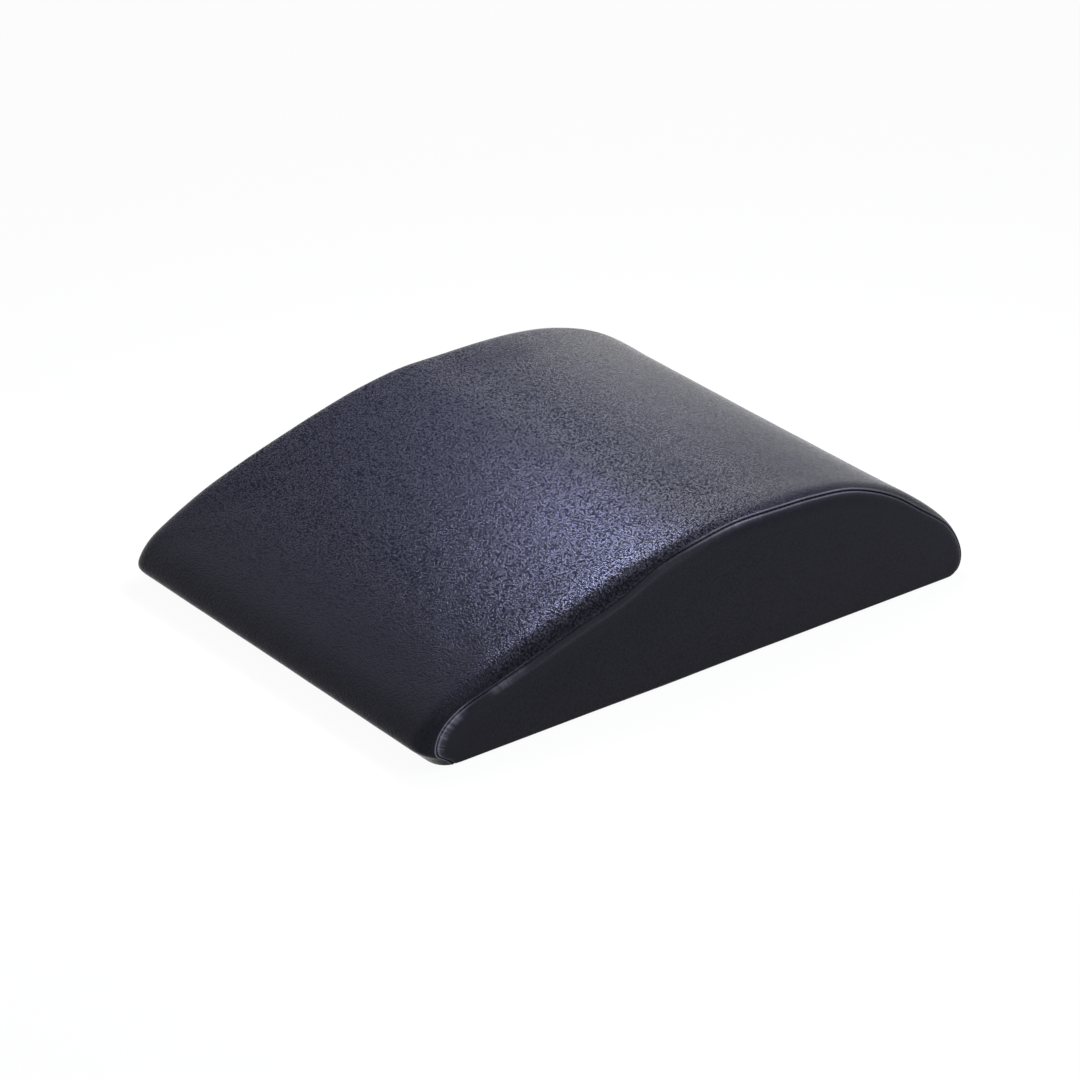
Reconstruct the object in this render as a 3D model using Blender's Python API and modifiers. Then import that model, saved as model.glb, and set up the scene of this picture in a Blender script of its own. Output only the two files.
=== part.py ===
"""Arched ab mat: a foam wedge on a plywood board under a sewn leather cover.

Frame: +X points to the right end panel, -Y to the thin nose, +Z up.  The
origin lies on the floor, midway between the ends and between nose and back.
"""
from math import cos, exp, pi, sin

import bmesh
import bpy
from mathutils import Vector

MM = 0.001

# Overall size of the mat
LENGTH = 412 * MM
WIDTH = 300 * MM
HEIGHT = 92.5 * MM

# Sheet materials, the gap that touching pieces keep and the one round the cover's turned-in edge
LEATHER = 1.2 * MM
GAP = 0.3 * MM
TUCK_GAP = 0.6 * MM
UNDERLAY = 2.0 * MM
BOARD = 12.0 * MM
BOARD_EASE = 0.6 * MM
OVERRUN = 2.0 * MM

# Side outline from the front bottom edge over the arch to the back bottom edge: share of the half
# length, share of the covered height, and the seam's place as a share of the quarter turn at the end
OUTLINE_SHARES = (
    (-0.935, 0.000, 0.80),
    (-0.966, 0.081, 0.88),
    (-1.000, 0.165, 0.92),
    (-0.959, 0.306, 0.79),
    (-0.876, 0.426, 0.76),
    (-0.752, 0.560, 0.93),
    (-0.604, 0.681, 1.03),
    (-0.458, 0.782, 1.03),
    (-0.314, 0.874, 1.03),
    (-0.171, 0.950, 0.76),
    (-0.019, 0.999, 0.64),
    (0.129, 0.999, 0.45),
    (0.275, 1.000, 0.48),
    (0.419, 0.978, 0.48),
    (0.565, 0.915, 0.44),
    (0.711, 0.795, 0.55),
    (0.839, 0.616, 0.66),
    (0.955, 0.392, 0.55),
    (1.000, 0.190, 0.60),
    (0.988, 0.080, 0.66),
    (0.958, 0.000, 0.70),
)
STATIONS = 20

# How far the end is rounded where the cover rolls over it, and where each radius holds
NOSE_ROUND = 12.0 * MM
CREST_ROUND = 11.0 * MM
BACK_ROUND = 5.5 * MM
ROUND_SHARES = (0.10, 0.30, 0.75)
# The line on the bottom that the sides are drawn in towards, as a share of the distance from the middle
DRAW_IN_SHARE = 0.8

# The crown sinks a little between the two stiffer ends
SADDLE = 1.1 * MM
SADDLE_REACH = 16.0 * MM

# Seam between the top cover and an end panel
GROOVE = 2.8 * MM
JOGGLE_RUN = 1.4 * MM
ALLOWANCE = 6.0 * MM
PANEL_STRIP = 4.0 * MM
THREAD = 0.6 * MM
THREAD_DEPTH = 0.5 * MM
THREAD_SHARE = 0.52

# The cover's fold under the board, and the mitre that its corners keep
FOLD = 28.0 * MM
MITRE = 1.0 * MM

# Foam that steps in behind the seam allowance
FOAM_STEP = 2.5 * MM
FOAM_LEAD = 0.8 * MM
FOAM_CLEAR = 1.4 * MM

# Underlay against slipping
UNDERLAY_INSET = 8.0 * MM
UNDERLAY_ROUND = 9.0 * MM

# Staples: wire, crown and leg, their clearance, their distance from the edge and their number
STAPLE_WIRE = 0.6 * MM
STAPLE_CROWN = 10.0 * MM
STAPLE_LEG = 8.0 * MM
STAPLE_CLEAR = 0.3 * MM
COVER_STAPLE_SEAT = 0.45 * MM
UNDERLAY_STAPLE_SINK = 0.3 * MM
COVER_STAPLE_INSET = 20.0 * MM
UNDERLAY_STAPLE_INSET = 13.0 * MM
COVER_STAPLES_ACROSS = 5
COVER_STAPLES_ALONG = 6
UNDERLAY_STAPLES_ACROSS = 4
UNDERLAY_STAPLES_ALONG = 5

# Finest details of the meshes
CORNER_STEPS = 5
WELD_DISTANCE = 0.01 * MM
FLAT_ANGLE = 0.001
CROWN_SHARES = (-0.86, -0.5, 0.0, 0.5, 0.86)
ROLL_SHARES = (0.0, 0.33, 0.66)

# Heights that the sheet thicknesses give
COVER_BOTTOM = UNDERLAY + GAP
BOARD_BOTTOM = COVER_BOTTOM + LEATHER + TUCK_GAP
BOARD_TOP = BOARD_BOTTOM + BOARD
# Depths below the outer surface: under one layer, at the turned-in edge, and under both layers
UNDER_ONE = LEATHER + GAP
TUCK_DEPTH = LEATHER + TUCK_GAP
UNDER_TWO = TUCK_DEPTH + LEATHER + TUCK_GAP
# The board lies against the end panels, and leaves room for foam at the nose and at the back
BOARD_SIDE_INSET = UNDER_ONE + BOARD_EASE
BOARD_END_INSET = UNDER_TWO + BOARD_EASE

LEATHER_COLOUR = (0.018, 0.018, 0.023, 1.0)
PANEL_COLOUR = (0.013, 0.013, 0.017, 1.0)
FOAM_COLOUR = (0.20, 0.20, 0.21, 1.0)
PLYWOOD_COLOUR = (0.55, 0.36, 0.19, 1.0)
UNDERLAY_COLOUR = (0.025, 0.025, 0.027, 1.0)
STEEL_COLOUR = (0.55, 0.56, 0.58, 1.0)
THREAD_COLOUR = (0.010, 0.010, 0.012, 1.0)


def clear_scene():
    for old in list(bpy.data.objects):
        bpy.data.objects.remove(old, do_unlink=True)


def make_collection(name):
    collection = bpy.data.collections.new(name)
    bpy.context.scene.collection.children.link(collection)
    return collection


def make_material(name, colour, roughness, metallic=0.0):
    material = bpy.data.materials.new(name)
    material.use_nodes = True
    shader = material.node_tree.nodes["Principled BSDF"]
    shader.inputs["Base Color"].default_value = colour
    shader.inputs["Roughness"].default_value = roughness
    shader.inputs["Metallic"].default_value = metallic
    material.diffuse_color = colour
    return material


def add_object(name, mesh, collection, material=None):
    piece = bpy.data.objects.new(name, mesh)
    if material is not None:
        mesh.materials.append(material)
    collection.objects.link(piece)
    return piece


def mesh_from(name, build):
    """Run build on an empty bmesh and return the closed, outward-facing mesh."""
    shape = bmesh.new()
    build(shape)
    bmesh.ops.recalc_face_normals(shape, faces=shape.faces)
    mesh = bpy.data.meshes.new(name)
    shape.to_mesh(mesh)
    shape.free()
    return mesh


def spline(before, start, end, after, step):
    """Catmull-Rom value between start and end."""
    return 0.5 * (2 * start + (end - before) * step
                  + (2 * before - 5 * start + 4 * end - after) * step ** 2
                  + (3 * start - before - 3 * end + after) * step ** 3)


def outline(share):
    """Point of the side outline and the seam share there; share runs from 0 to 1, front to back."""
    spans = len(OUTLINE_SHARES) - 1
    place = min(max(share, 0.0), 1.0) * spans
    index = min(int(place), spans - 1)
    rows = [OUTLINE_SHARES[min(max(index + shift, 0), spans)] for shift in (-1, 0, 1, 2)]
    along, up, seam = (spline(*(row[column] for row in rows), place - index) for column in range(3))
    point = Vector((0, along * LENGTH / 2, COVER_BOTTOM + up * (HEIGHT - COVER_BOTTOM)))
    return point, seam


def outward(share):
    """Outward normal of the side outline at a station, and the factor that keeps a depth even at its bend."""
    step = 1 / STATIONS
    here = outline(share)[0]
    runs = [run.normalized() for run in (here - outline(share - step)[0], outline(share + step)[0] - here)
            if run.length > 0]
    run = sum(runs, Vector())
    normal = Vector((0, -run.z, run.y)).normalized()
    facet = Vector((0, -runs[0].z, runs[0].y))
    return normal, 1 / normal.dot(facet)


def draw_in(share):
    """Direction in which the sides are drawn in, level at the bottom edge."""
    point = outline(share)[0]
    return Vector((0, DRAW_IN_SHARE * point.y - point.y, COVER_BOTTOM - point.z)).normalized()


def end_round(share):
    """Radius of the rounding at the end, from the nose over the crest to the back."""
    nose_end, crest_start, crest_end = ROUND_SHARES
    if share < crest_start:
        step = max(share - nose_end, 0.0) / (crest_start - nose_end)
        return NOSE_ROUND + (CREST_ROUND - NOSE_ROUND) * step
    step = max(share - crest_end, 0.0) / (1.0 - crest_end)
    return CREST_ROUND + (BACK_ROUND - CREST_ROUND) * step


def quarter(share):
    """Length over the surface of the quarter turn at the end."""
    return end_round(share) * pi / 2


def seam_reach(share):
    """Distance over the surface from the start of the rounding to the seam."""
    return outline(share)[1] * quarter(share)


def crown_point(share, across, depth=0.0):
    """Point on the crown; across runs from -1 to 1 between the two roundings."""
    point = outline(share)[0]
    flat = WIDTH / 2 - end_round(share)
    inland = flat * (1 - abs(across))
    rise = (point.z - COVER_BOTTOM) / (HEIGHT - COVER_BOTTOM)
    sunk = SADDLE * rise * (1 - exp(-(inland / SADDLE_REACH) ** 2))
    normal, even = outward(share)
    point = point + draw_in(share) * sunk - normal * even * depth
    return Vector((across * flat, point.y, point.z))


def side_point(share, side, reach, depth=0.0):
    """Point past the start of the rounding, at a distance over the surface; depth goes inwards."""
    radius = end_round(share)
    inward = draw_in(share)
    normal, even = outward(share)
    turn = min(reach, quarter(share)) / radius
    inset = radius * (1 - cos(turn)) + max(reach - quarter(share), 0.0)
    facing = Vector((sin(turn) * -inward.dot(normal), 0, 0)) + normal * cos(turn)
    deep = Vector((facing.x, facing.y * even, facing.z * even)) * depth / facing.length
    point = outline(share)[0] + inward * inset
    point.x = WIDTH / 2 - radius * (1 - sin(turn))
    point -= deep
    return Vector((side * point.x, point.y, point.z))


def lifted(column, floor):
    """The column with its first and last point moved along it, up to the floor height."""
    def cut(low, high):
        step = (floor - low.z) / (high.z - low.z)
        return low.lerp(high, step)
    return [cut(column[0], column[1])] + column[1:-1] + [cut(column[-1], column[-2])]


def stations():
    return [index / STATIONS for index in range(STATIONS + 1)]


def side_column(side, reach_at, depth=0.0):
    return [side_point(share, side, reach_at(share), depth) for share in stations()]


def crown_column(across, depth=0.0):
    return [crown_point(share, across, depth) for share in stations()]


def add_strip(shape, first, second):
    """Quads between two rows of vertices."""
    for index in range(len(first) - 1):
        shape.faces.new((first[index], first[index + 1], second[index + 1], second[index]))


def front_edge():
    return outline(0.0)[0].y


def back_edge():
    return outline(1.0)[0].y


def shell(piece, thickness):
    """Give an open, outward-facing surface its thickness on the inner side."""
    solid = piece.modifiers.new("thickness", "SOLIDIFY")
    solid.thickness = thickness
    solid.offset = -1.0
    solid.use_even_offset = True


def cut(piece, cutter, solver="EXACT"):
    boolean = piece.modifiers.new("cut", "BOOLEAN")
    boolean.operation = "DIFFERENCE"
    boolean.solver = solver
    boolean.object = cutter


def roll_columns(side):
    """Columns of the top cover from the start of the rounding to just before the seam."""
    return [side_column(side, lambda share, part=part: part * seam_reach(share)) for part in ROLL_SHARES]


def add_allowance(shape, seam, side):
    """The cover's turned-in edge: it steps in at the seam and runs on behind the end panel.

    It stops one station above the bottom edge, clear of the folds under the board.
    """
    row = seam[1:-1]
    for distance in (JOGGLE_RUN, ALLOWANCE):
        column = side_column(side, lambda share: seam_reach(share) + distance, TUCK_DEPTH)
        further = [shape.verts.new(point) for point in column[1:-1]]
        add_strip(shape, row, further)
        row = further


def top_cover_mesh():
    def build(shape):
        left = [side_column(-1, seam_reach)] + roll_columns(-1)[::-1]
        right = roll_columns(1) + [side_column(1, seam_reach)]
        crown = [crown_column(across) for across in CROWN_SHARES]
        columns = [[shape.verts.new(point) for point in column] for column in left + crown + right]
        for first, second in zip(columns, columns[1:]):
            add_strip(shape, first, second)
        add_allowance(shape, columns[0], -1)
        add_allowance(shape, columns[-1], 1)
        # the folds under the board narrow towards the mitres
        narrow = (WIDTH / 2 - FOLD - MITRE) / (WIDTH / 2)
        for end, row_y in ((0, front_edge() + FOLD), (-1, back_edge() - FOLD)):
            edge = [column[end] for column in columns]
            inner = [shape.verts.new((vert.co.x * narrow, row_y, COVER_BOTTOM)) for vert in edge]
            add_strip(shape, edge, inner)
    return mesh_from("top_cover", build)


def panel_reach(share):
    return seam_reach(share) + GROOVE


def panel_inner_reach(share):
    return max(quarter(share), panel_reach(share)) + PANEL_STRIP


def panel_middle_reach(share):
    return (panel_reach(share) + panel_inner_reach(share)) / 2


def end_panel_mesh(side):
    def build(shape):
        reaches = (panel_reach, panel_middle_reach, panel_inner_reach)
        rows = [side_column(side, reach) for reach in reaches]
        verts = [[shape.verts.new(point) for point in row] for row in rows]
        for first, second in zip(verts, verts[1:]):
            add_strip(shape, first, second)
        shape.faces.new(verts[-1])
        # the fold under the board, mitred against the cover's folds
        edge = [row[0] for row in verts] + [row[-1] for row in verts[::-1]]
        start = front_edge() + FOLD + MITRE
        end = back_edge() - FOLD - MITRE
        inner_x = side * (WIDTH / 2 - FOLD)
        inner = []
        for index, vert in enumerate(edge):
            first_half = index < len(rows)
            nudge = (index if first_half else len(edge) - 1 - index) * MITRE
            inner_y = start + nudge if first_half else end - nudge
            inner.append(shape.verts.new((inner_x, inner_y, COVER_BOTTOM)))
        add_strip(shape, edge, inner)
    return mesh_from("end_panel", build)


def foam_mesh():
    def build(shape):
        def side_columns(side):
            def before(share):
                return seam_reach(share) - FOAM_LEAD

            def behind(share):
                return max(quarter(share), seam_reach(share) + ALLOWANCE) + FOAM_CLEAR

            def between(share):
                return (seam_reach(share) + behind(share)) / 2

            def stepped_column(reach):
                # the step ends where the allowance does, one station above the bottom edge
                flush = side_column(side, reach, UNDER_ONE)
                deep = side_column(side, reach, UNDER_TWO + FOAM_CLEAR)
                return flush[:1] + deep[1:-1] + flush[-1:]

            columns = [side_column(side, lambda share, part=part: part * seam_reach(share), UNDER_ONE)
                       for part in ROLL_SHARES]
            columns += [stepped_column(reach) for reach in (before, between, behind)]
            columns.append(side_column(side, lambda share: behind(share) + FOAM_STEP, UNDER_ONE))
            return columns
        crown = [crown_column(across, UNDER_ONE) for across in CROWN_SHARES]
        columns = side_columns(-1)[::-1] + crown + side_columns(1)
        verts = [[shape.verts.new(point) for point in lifted(column, BOARD_BOTTOM)] for column in columns]
        for first, second in zip(verts, verts[1:]):
            add_strip(shape, first, second)
        shape.faces.new(verts[0])
        shape.faces.new(verts[-1])
        shape.faces.new([column[0] for column in verts] + [column[-1] for column in verts[::-1]])
    return mesh_from("foam_core", build)


def arc_points(centre, radius, start, steps):
    """Points of a quarter circle that begins at the angle start."""
    angles = [start + pi / 2 * step / steps for step in range(steps + 1)]
    return [(centre[0] + radius * cos(angle), centre[1] + radius * sin(angle)) for angle in angles]


def plan_points(side_inset, end_inset, front_radius, back_radius):
    """Rounded rectangle in plan, inset from the cover's bottom edge."""
    half = WIDTH / 2 - side_inset
    front = front_edge() + end_inset
    back = back_edge() - end_inset
    points = arc_points((half - back_radius, back - back_radius), back_radius, 0.0, CORNER_STEPS)
    points += arc_points((back_radius - half, back - back_radius), back_radius, pi / 2, CORNER_STEPS)
    points += arc_points((front_radius - half, front + front_radius), front_radius, pi, CORNER_STEPS)
    points += arc_points((half - front_radius, front + front_radius), front_radius, 1.5 * pi, CORNER_STEPS)
    return points


def flat_prism(name, points, bottom, top):
    """Flat outline as a filled 2D curve, extruded to stand between two heights, made a mesh."""
    curve = bpy.data.curves.new(name, "CURVE")
    curve.dimensions = "2D"
    curve.fill_mode = "BOTH"
    curve.extrude = (top - bottom) / 2
    path = curve.splines.new("POLY")
    path.points.add(len(points) - 1)
    for point, (x, y) in zip(path.points, points):
        point.co = (x, y, 0, 1)
    path.use_cyclic_u = True
    holder = bpy.data.objects.new(name, curve)
    bpy.context.scene.collection.objects.link(holder)
    holder.location.z = (top + bottom) / 2
    bpy.context.view_layer.update()
    graph = bpy.context.evaluated_depsgraph_get()
    mesh = bpy.data.meshes.new_from_object(holder.evaluated_get(graph))
    mesh.transform(holder.matrix_world)
    bpy.data.objects.remove(holder, do_unlink=True)
    bpy.data.curves.remove(curve)

    def weld(shape):
        shape.from_mesh(mesh)
        bmesh.ops.remove_doubles(shape, verts=shape.verts, dist=WELD_DISTANCE)
        bmesh.ops.dissolve_limit(shape, angle_limit=FLAT_ANGLE, verts=shape.verts, edges=shape.edges)
    welded = mesh_from(name, weld)
    bpy.data.meshes.remove(mesh)
    return welded


def staple_outline(swell, crown_drop):
    """U outline around the wire, feet up; swell widens it all round for a clearance cutter."""
    half = STAPLE_CROWN / 2 + swell
    inner = STAPLE_CROWN / 2 - STAPLE_WIRE - swell
    low = -swell - crown_drop
    ceiling = STAPLE_WIRE + swell
    tip = STAPLE_LEG + swell
    return [(-half, low), (half, low), (half, tip), (inner, tip),
            (inner, ceiling), (-inner, ceiling), (-inner, tip), (-half, tip)]


def staples_mesh(name, places, base, swell=0.0, crown_drop=0.0):
    """One mesh with a staple at each place (x, y, runs along Y), crown at the height base."""
    def build(shape):
        points = staple_outline(swell, crown_drop)
        for x, y, along_y in places:
            reach = STAPLE_WIRE / 2 + swell
            rings = []
            for offset in (-reach, reach):
                ring = []
                for across, up in points:
                    spot = (x + offset, y + across) if along_y else (x + across, y + offset)
                    ring.append(shape.verts.new((*spot, base + up)))
                rings.append(ring)
            add_strip(shape, rings[0] + rings[0][:1], rings[1] + rings[1][:1])
            shape.faces.new(rings[0])
            shape.faces.new(rings[1])
    return mesh_from(name, build)


def row_places(count, length):
    """Even places of count staples about the middle of a straight edge."""
    pitch = length / count
    return [(index + 0.5) * pitch - length / 2 for index in range(count)]


def staple_places(inset, across_count, along_count):
    """Staples along all four edges of the underside, at one inset from the cover's bottom edge."""
    middle = (front_edge() + back_edge()) / 2
    across_length = WIDTH - 2 * FOLD - 2 * STAPLE_CROWN
    along_length = back_edge() - front_edge() - 2 * FOLD - 2 * STAPLE_CROWN
    places = []
    for y in (front_edge() + inset, back_edge() - inset):
        places += [(x, y, False) for x in row_places(across_count, across_length)]
    for x in (inset - WIDTH / 2, WIDTH / 2 - inset):
        places += [(x, middle + y, True) for y in row_places(along_count, along_length)]
    return places


def add_staples(name, places, base, collection, material):
    """One object for each staple, numbered from 01."""
    for number, place in enumerate(places, start=1):
        label = f"{name}_{number:02d}"
        add_object(label, staples_mesh(label, [place], base), collection, material)


def seam_thread(name, side, collection, material):
    """The stitching thread that lies in the groove, as a wire along the seam."""
    reach = THREAD_SHARE * GROOVE
    points = side_column(side, lambda share: seam_reach(share) + reach, THREAD_DEPTH)
    curve = bpy.data.curves.new(name, "CURVE")
    curve.dimensions = "3D"
    curve.bevel_depth = THREAD / 2
    curve.bevel_resolution = 1
    curve.use_fill_caps = True
    path = curve.splines.new("POLY")
    path.points.add(len(points) - 1)
    for spot, point in zip(path.points, points):
        spot.co = (*point, 1)
    curve.materials.append(material)
    piece = bpy.data.objects.new(name, curve)
    collection.objects.link(piece)
    return piece


def add_cutter(name, mesh, collection):
    cutter = add_object(name, mesh, collection)
    cutter.hide_render = True
    cutter.display_type = "WIRE"
    return cutter


def board_mesh():
    points = plan_points(BOARD_SIDE_INSET, BOARD_END_INSET, NOSE_ROUND, BACK_ROUND)
    return flat_prism("base_board", points, BOARD_BOTTOM, BOARD_TOP)


def board_recess_mesh():
    """The room that the foam leaves for the board: open below and at both ends of the mat."""
    half = WIDTH / 2 + OVERRUN
    front = front_edge() + BOARD_END_INSET - GAP
    back = back_edge() - BOARD_END_INSET + GAP
    points = [(-half, front), (half, front), (half, back), (-half, back)]
    return flat_prism("board_recess", points, BOARD_BOTTOM - OVERRUN, BOARD_TOP + GAP)


def main():
    clear_scene()
    parts = make_collection("ab_mat")
    cutters = make_collection("cutters")
    leather = make_material("cover_leather", LEATHER_COLOUR, 0.42)
    panel_leather = make_material("panel_leather", PANEL_COLOUR, 0.5)
    foam = make_material("foam", FOAM_COLOUR, 0.95)
    plywood = make_material("plywood", PLYWOOD_COLOUR, 0.7)
    rubber = make_material("underlay_rubber", UNDERLAY_COLOUR, 0.85)
    steel = make_material("staple_steel", STEEL_COLOUR, 0.35, 1.0)
    thread = make_material("seam_thread", THREAD_COLOUR, 0.7)

    cover_places = staple_places(COVER_STAPLE_INSET, COVER_STAPLES_ACROSS, COVER_STAPLES_ALONG)
    cover_base = COVER_BOTTOM - COVER_STAPLE_SEAT - STAPLE_WIRE
    underlay_places = staple_places(UNDERLAY_STAPLE_INSET, UNDERLAY_STAPLES_ACROSS, UNDERLAY_STAPLES_ALONG)
    underlay_base = UNDERLAY_STAPLE_SINK
    cover_cutter = add_cutter("cover_staple_holes", staples_mesh(
        "cover_staple_holes", cover_places, cover_base, STAPLE_CLEAR), cutters)
    underlay_cutter = add_cutter("underlay_staple_holes", staples_mesh(
        "underlay_staple_holes", underlay_places, underlay_base, STAPLE_CLEAR, OVERRUN), cutters)
    board_cutter = add_cutter("board_recess", board_recess_mesh(), cutters)

    board = add_object("base_board", board_mesh(), parts, plywood)
    core = add_object("foam_core", foam_mesh(), parts, foam)
    cover = add_object("top_cover", top_cover_mesh(), parts, leather)
    right = add_object("end_panel_right", end_panel_mesh(1), parts, panel_leather)
    left = add_object("end_panel_left", end_panel_mesh(-1), parts, panel_leather)
    underlay_points = plan_points(UNDERLAY_INSET, UNDERLAY_INSET, UNDERLAY_ROUND, UNDERLAY_ROUND)
    underlay = add_object("underside_sheet", flat_prism("underside_sheet", underlay_points, 0.0, UNDERLAY),
                          parts, rubber)
    add_staples("cover_staple", cover_places, cover_base, parts, steel)
    add_staples("underlay_staple", underlay_places, underlay_base, parts, steel)
    seam_thread("seam_thread_right", 1, parts, thread)
    seam_thread("seam_thread_left", -1, parts, thread)

    # the exact solver drops this loft at some other lengths and heights of the mat
    cut(core, board_cutter, "MANIFOLD")
    for piece in (cover, right, left):
        shell(piece, LEATHER)
    for piece in (board, cover, right, left, underlay):
        cut(piece, cover_cutter)
        cut(piece, underlay_cutter)


main()
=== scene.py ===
"""Looks of an arched ab mat: sewn leather over a foam wedge, in a plain pale studio.

Frame: +X points to the right end panel, -Y to the thin nose, +Z up; metres throughout.
"""
import logging
from collections.abc import Sequence
from dataclasses import dataclass, field
from enum import Enum
from math import cos, pi, radians, sin

import bpy
import numpy as np
from mathutils import Matrix, Vector


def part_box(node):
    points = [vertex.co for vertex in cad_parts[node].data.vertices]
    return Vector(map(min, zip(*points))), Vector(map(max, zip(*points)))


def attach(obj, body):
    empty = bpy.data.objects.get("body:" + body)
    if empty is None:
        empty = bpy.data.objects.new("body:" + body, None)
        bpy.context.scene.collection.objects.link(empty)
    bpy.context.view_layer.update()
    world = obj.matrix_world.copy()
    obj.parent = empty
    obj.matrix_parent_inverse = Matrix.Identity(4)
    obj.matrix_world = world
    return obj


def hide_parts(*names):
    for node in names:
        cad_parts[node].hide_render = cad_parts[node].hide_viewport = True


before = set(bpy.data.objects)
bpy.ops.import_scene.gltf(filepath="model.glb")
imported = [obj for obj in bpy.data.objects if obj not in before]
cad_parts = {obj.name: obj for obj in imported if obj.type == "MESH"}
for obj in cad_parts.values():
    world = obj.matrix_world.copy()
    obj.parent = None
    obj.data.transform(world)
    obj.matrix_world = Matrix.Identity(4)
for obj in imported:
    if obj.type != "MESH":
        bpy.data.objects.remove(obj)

Array = np.ndarray
Material, Mesh, Socket = bpy.types.Material, bpy.types.Mesh, bpy.types.NodeSocket
Piece = bpy.types.Object
Faces = list[tuple[int, ...]]
Pair = tuple[float, float]
Triple = tuple[float, float, float]
Table = tuple[Pair, ...]

MM = 0.001
TINY = 1e-9
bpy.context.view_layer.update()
OUTLINE_SAMPLES = 4001
NOISE_SPAN = (0.3, 0.7)
EDGE_SPAN, LAST_GAP = 1.6 * MM, 3 * MM
# start, stop and pitch of the stations over the outline, in mm
STATION_SPANS = (
    (2.2, 20.0, 0.9), (20.5, 54.0, 0.42), (54.6, 74.0, 0.9), (74.5, 102.0, 0.42), (102.8, 495.0, 1.6),
)

log = logging.getLogger("ab_mat")


class End(Enum):
    """The two ends of the mat, by the sign of their X."""

    RIGHT = 1
    LEFT = -1


def unit(ways: Array) -> Array:
    """Directions scaled to a length of 1."""
    return ways / np.maximum(np.linalg.norm(ways, axis=-1, keepdims=True), TINY)


def bell(away: Array, middle: float, width: float) -> Array:
    """Bell curve of height 1 around a middle."""
    return np.exp(-((away - middle) / width) ** 2)


@dataclass
class PadForm:
    """Outer surface of the mat: a side outline that runs along X and rolls over at both ends.

    The outline's rows are its share of the half length, its share of the covered height and the
    seam's place as a share of the quarter turn at the ends.
    """

    length: float = 412 * MM
    width: float = 300 * MM
    height: float = 92.9 * MM
    floor: float = 1.6 * MM
    nose_round: float = 14.4 * MM
    crest_round: float = 13.2 * MM
    back_round: float = 4.2 * MM
    squareness: float = 2.5
    round_shares: Triple = (0.10, 0.30, 0.75)
    draw_in_share: float = 0.8
    saddle: float = 1.1 * MM
    saddle_reach: float = 16.0 * MM
    smoothing: float = 3.0 * MM
    outline_shares: tuple[Triple, ...] = (
        (-0.935, 0.000, 0.860), (-0.968, 0.081, 0.895), (-1.001, 0.155, 0.905),
        (-0.959, 0.306, 0.766), (-0.876, 0.426, 0.723), (-0.752, 0.560, 0.886),
        (-0.604, 0.681, 0.948), (-0.458, 0.782, 0.948), (-0.314, 0.874, 0.948),
        (-0.171, 0.950, 0.740), (-0.019, 0.999, 0.632), (0.129, 0.999, 0.452),
        (0.275, 1.000, 0.481), (0.421, 0.984, 0.481), (0.569, 0.926, 0.442),
        (0.716, 0.806, 0.548), (0.842, 0.621, 0.651), (0.953, 0.392, 0.519),
        (1.001, 0.188, 0.548), (0.996, 0.050, 0.595), (0.961, 0.000, 0.632),
    )

    def __post_init__(self) -> None:
        """Sample the outline finely and measure its length."""
        rows = np.array(self.outline_shares)
        spans = len(rows) - 1
        place = np.linspace(0, spans, OUTLINE_SAMPLES)
        index = np.minimum(place.astype(int), spans - 1)
        step = (place - index)[:, None]
        before, start, end, after = (rows[np.clip(index + shift, 0, spans)] for shift in (-1, 0, 1, 2))
        dense = 0.5 * (2 * start + (end - before) * step
                       + (2 * before - 5 * start + 4 * end - after) * step ** 2
                       + (3 * start - before - 3 * end + after) * step ** 3)
        spots = np.stack([dense[:, 0] * self.length / 2,
                          self.floor + dense[:, 1] * (self.height - self.floor)], axis=1)
        run = np.concatenate([[0], np.cumsum(np.linalg.norm(np.diff(spots, axis=0), axis=1))])
        self.run = np.linspace(0, run[-1], OUTLINE_SAMPLES)
        spots = np.stack([np.interp(self.run, run, spots[:, axis]) for axis in range(2)], axis=1)
        self.spots = self._smoothed(spots)
        self.seam_shares = np.interp(self.run, run, dense[:, 2])
        self.shares = np.interp(self.run, run, place / spans)
        tangent = unit(np.gradient(self.spots, axis=0))
        self.normals = np.stack([-tangent[:, 1], tangent[:, 0]], axis=1)

    def _smoothed(self, spots: Array) -> Array:
        """Even out the outline's curvature and keep its two end points."""
        pitch = self.run[1]
        reach = int(3 * self.smoothing / pitch)
        weights = np.exp(-0.5 * (np.arange(-reach, reach + 1) * pitch / self.smoothing) ** 2)
        head = 2 * spots[0] - spots[reach:0:-1]
        tail = 2 * spots[-1] - spots[-2:-reach - 2:-1]
        padded = np.concatenate([head, spots, tail])
        return np.stack([np.convolve(padded[:, axis], weights / weights.sum(), "valid")
                         for axis in range(2)], axis=1)

    @property
    def total(self) -> float:
        """Length over the outline."""
        return float(self.run[-1])

    def sample(self, run: Array, values: Array) -> Array:
        """Values of one or more columns at distances over the outline."""
        if values.ndim == 1:
            return np.interp(run, self.run, values)
        return np.stack([np.interp(run, self.run, values[:, axis]) for axis in range(values.shape[1])], axis=-1)

    def radius(self, run: Array) -> Array:
        """Radius of the rounding at the ends."""
        share = self.sample(run, self.shares)
        nose_end, crest_start, crest_end = self.round_shares
        nose = np.clip((share - nose_end) / (crest_start - nose_end), 0, 1)
        back = np.clip((share - crest_end) / (1 - crest_end), 0, 1)
        return (self.nose_round + (self.crest_round - self.nose_round) * nose
                + (self.back_round - self.crest_round) * back)

    def quarter(self, run: Array) -> Array:
        """Distance over the surface of the whole rounding."""
        return self.radius(run) * pi / 2

    def seam_reach(self, run: Array) -> Array:
        """Distance over the surface from the start of the rounding to the seam."""
        return self.sample(run, self.seam_shares) * self.quarter(run)

    def inward(self, run: Array) -> Array:
        """Direction (y, z) in which the sides are drawn in, level at the bottom edge."""
        spot = self.sample(run, self.spots)
        return unit(np.stack([(self.draw_in_share - 1) * spot[..., 0], self.floor - spot[..., 1]], axis=-1))

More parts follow.
